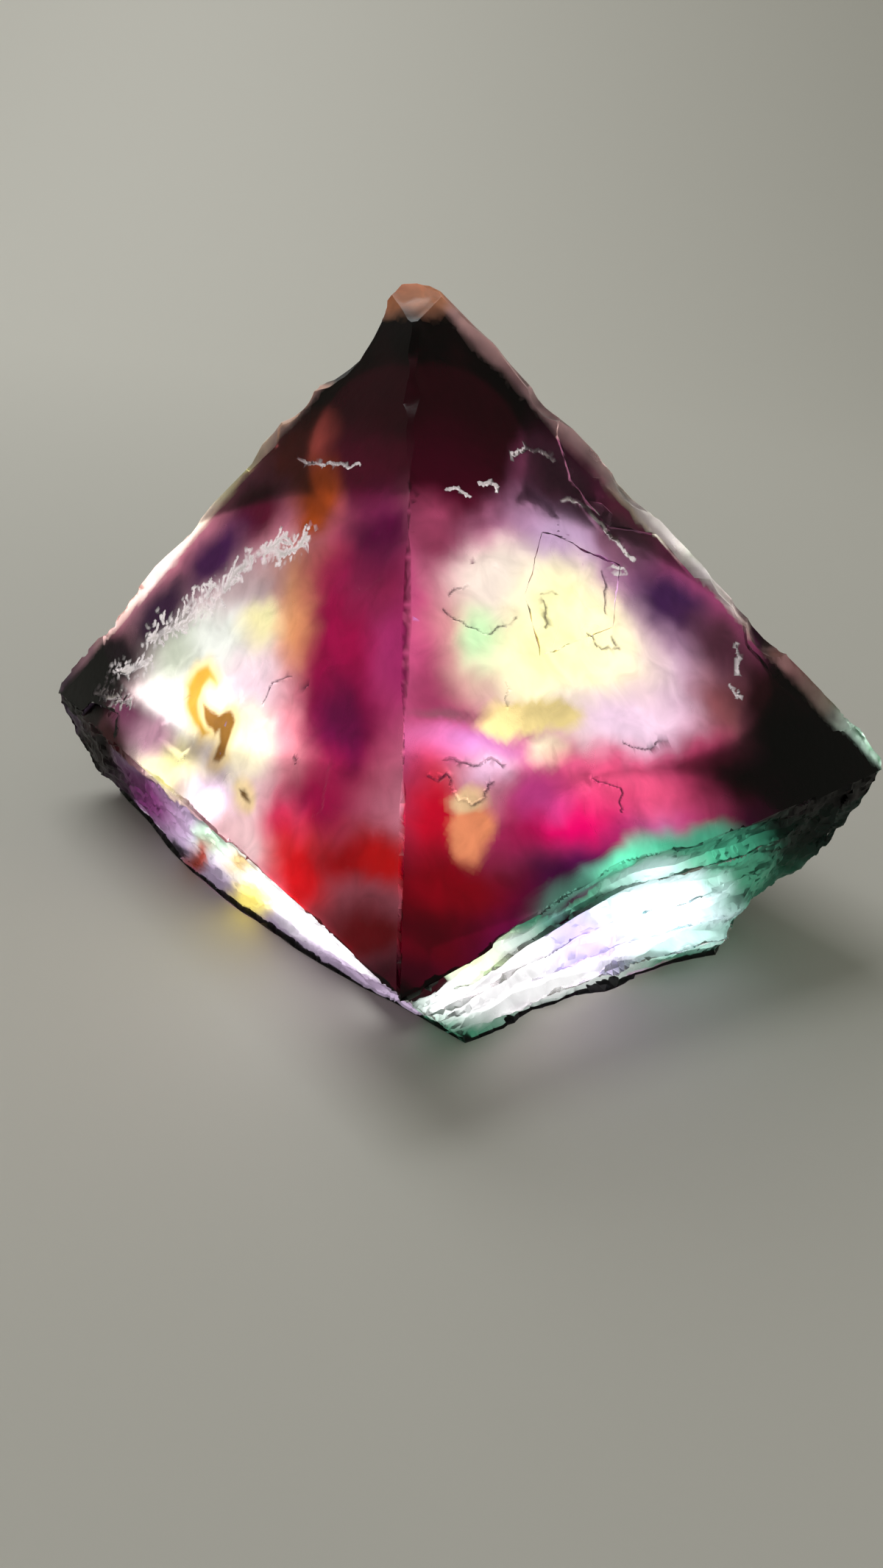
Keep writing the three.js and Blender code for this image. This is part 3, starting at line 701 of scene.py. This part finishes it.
skin = add(
    "ShaderNodeBsdfPrincipled",
    Base_Color=clouded.outputs[0],
    Roughness=haze_node.outputs["Fac"],
    IOR=1.434,
    Specular_Tint=(*linear("BCBCBC"), 1),
    Transmission_Weight=clear.outputs[0],
    Normal=grain_bump.outputs["Normal"],
)
body = add("ShaderNodeVolumeAbsorption", Color=(*linear("EFC3DF"), 1), Density=4.0)
add("ShaderNodeOutputMaterial", Surface=skin.outputs[0], Volume=body.outputs[0])
crystal.data.materials.append(fluorite)
SHARP_FROM = radians(24)
bpy.ops.object.shade_smooth_by_angle(angle=SHARP_FROM)
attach(crystal, "root")
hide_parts("fluorite_octahedron")

# The floor: one sheet of pale matt board that curves up behind the crystal, as on a studio table.
FLOOR_NEAR = -3.0  # m
CURVE_START = 0.55  # m behind the crystal
CURVE = 0.6  # m, the radius
BACKDROP_TOP = 3.0  # m
HALF_WIDTH = 4.0  # m
profile = [(FLOOR_NEAR, 0.0), (CURVE_START, 0.0)]
for bend in range(6, 91, 6):
    forward = CURVE_START + CURVE * np.sin(radians(bend))
    profile.append((forward, CURVE - CURVE * np.cos(radians(bend))))
profile.append((CURVE_START + CURVE, BACKDROP_TOP))
rows = [(x, y, z) for y, z in profile for x in (-HALF_WIDTH, HALF_WIDTH)]
sides = [(2 * row, 2 * row + 1, 2 * row + 3, 2 * row + 2) for row in range(len(profile) - 1)]
floor_mesh = bpy.data.meshes.new("floor")
floor_mesh.from_pydata(rows, [], sides)
floor = bpy.data.objects.new("floor", floor_mesh)
bpy.context.scene.collection.objects.link(floor)
floor_mesh.shade_smooth()
floor_material = bpy.data.materials.new("pale_board")
floor_material.use_nodes = True
floor_skin = floor_material.node_tree.nodes["Principled BSDF"]
floor_skin.inputs["Base Color"].default_value = (*linear("D8D6CE"), 1)
floor_skin.inputs["Roughness"].default_value = 0.7
floor.data.materials.append(floor_material)

# The lights. Two broad soft studio lamps stand outside, and small soft lamps glow under and inside the crystal,
# because it is lit from below through its flat break. Powers are in watts, sizes and places in metres.


def soft_light(name, shape, size, power, place, aim, turned=0):
    light = bpy.data.lights.new(name, "AREA")
    light.shape = shape
    light.size, light.size_y = size
    light.energy = power
    lamp = bpy.data.objects.new(name, light)
    bpy.context.scene.collection.objects.link(lamp)
    lamp.location = place
    lamp.rotation_euler = (Vector(aim) - Vector(place)).to_track_quat("-Z", "Y").to_euler()
    lamp.rotation_euler.z += radians(turned)
    lamp.visible_camera = False


def along_wall(wall, share, inward, height):
    """A place behind a lower wall, and the way out through it, in metres."""
    place = wall.origin + share * wall.width * wall.along - inward * wall.out
    place[2] = height
    return place * MM, (place + EDGE * wall.out) * MM


soft_light("overhead", "SQUARE", (0.9, 0.9), 7, (-0.5, 0.6, 1.05), (0, 0.05, 0.03))
soft_light("fill", "SQUARE", (0.9, 0.9), 2.2, (0.55, -1.2, 0.3), (0, 0, 0.03))
FLAT_GLOWS = [  # name, shape, size, power, place, turn in degrees; they shine straight up
    ("glow_under", "RECTANGLE", (0.052, 0.068), 0.0125, (-0.003, -0.003, 0.0006), 39.4),
    ("glow_under_left", "DISK", (0.026, 0.026), 0.003, (-0.036, 0.003, 0.0016), 0),
    ("glow_under_right", "DISK", (0.024, 0.024), 0.0022, (0.034, -0.014, 0.0018), 0),
    ("glow_foot_right", "RECTANGLE", (0.046, 0.008), 0.0011, (0.0225, -0.030, 0.0003), 39.4),
    ("glow_foot_left", "RECTANGLE", (0.05, 0.008), 0.0014, (-0.017, -0.0265, 0.0003), -40),
]
for name, shape, size, power, place, turned in FLAT_GLOWS:
    soft_light(name, shape, size, power, place, (place[0], place[1], 0.1), turned)
SIDE_GLOWS = [  # name, size, power, place, aim; all are ellipses
    ("glow_brow_right", (0.04, 0.018), 0.0024, (0.029, -0.006, 0.0085), (0.0437, -0.0883, 0.0631)),
    ("glow_front", (0.1, 0.042), 0.0145, (-0.006, 0.004, 0.031), (-0.006, -0.1, 0.039)),
    ("glow_back", (0.1, 0.042), 0.0145, (-0.006, 0.008, 0.031), (-0.006, 0.1, 0.039)),
    ("glow_top", (0.024, 0.022), 0.0014, (-0.009, 0.002, 0.06), (-0.009, -0.1, 0.07)),
    ("glow_back_left_wall", (0.034, 0.014), 0.0008, (-0.038, 0.012, 0.011), (-0.01, -0.04, 0.02)),
]
for name, size, power, place, aim in SIDE_GLOWS:
    soft_light(name, "ELLIPSE", size, power, place, aim)
soft_light("glow_right_wall", "RECTANGLE", (0.056, 0.013), 0.0017, *along_wall(wall_right, 0.42, 10, 8.5))
soft_light("glow_left_wall", "RECTANGLE", (0.056, 0.010), 0.0026, *along_wall(wall_left, 0.56, 9, 7))

world = bpy.data.worlds.new("soft_room")
world.use_nodes = True
world.node_tree.nodes["Background"].inputs["Color"].default_value = (*linear("A9AA9E"), 1)
world.node_tree.nodes["Background"].inputs["Strength"].default_value = 0.45
bpy.context.scene.world = world
bpy.context.scene.view_settings.view_transform = "Standard"

# The camera, held close in front of the crystal and above it. It looks down at the ridge between the two front
# faces, a little out of level.
camera_data = bpy.data.cameras.new("camera")
camera_data.lens = 26.24
camera_data.sensor_width = 36
camera_data.clip_start = 0.01
camera = bpy.data.objects.new("camera", camera_data)
bpy.context.scene.collection.objects.link(camera)
side_axis = Vector((0.9924, 0.0537, 0.1110))
up_axis = Vector((-0.1233, 0.4321, 0.8932))
back_axis = Vector((0, -0.9002, 0.4354))
turn = Matrix((side_axis, up_axis, back_axis)).transposed().to_4x4()
camera.matrix_world = Matrix.Translation((-0.00037, -0.16342, 0.09085)) @ turn
bpy.context.scene.camera = camera
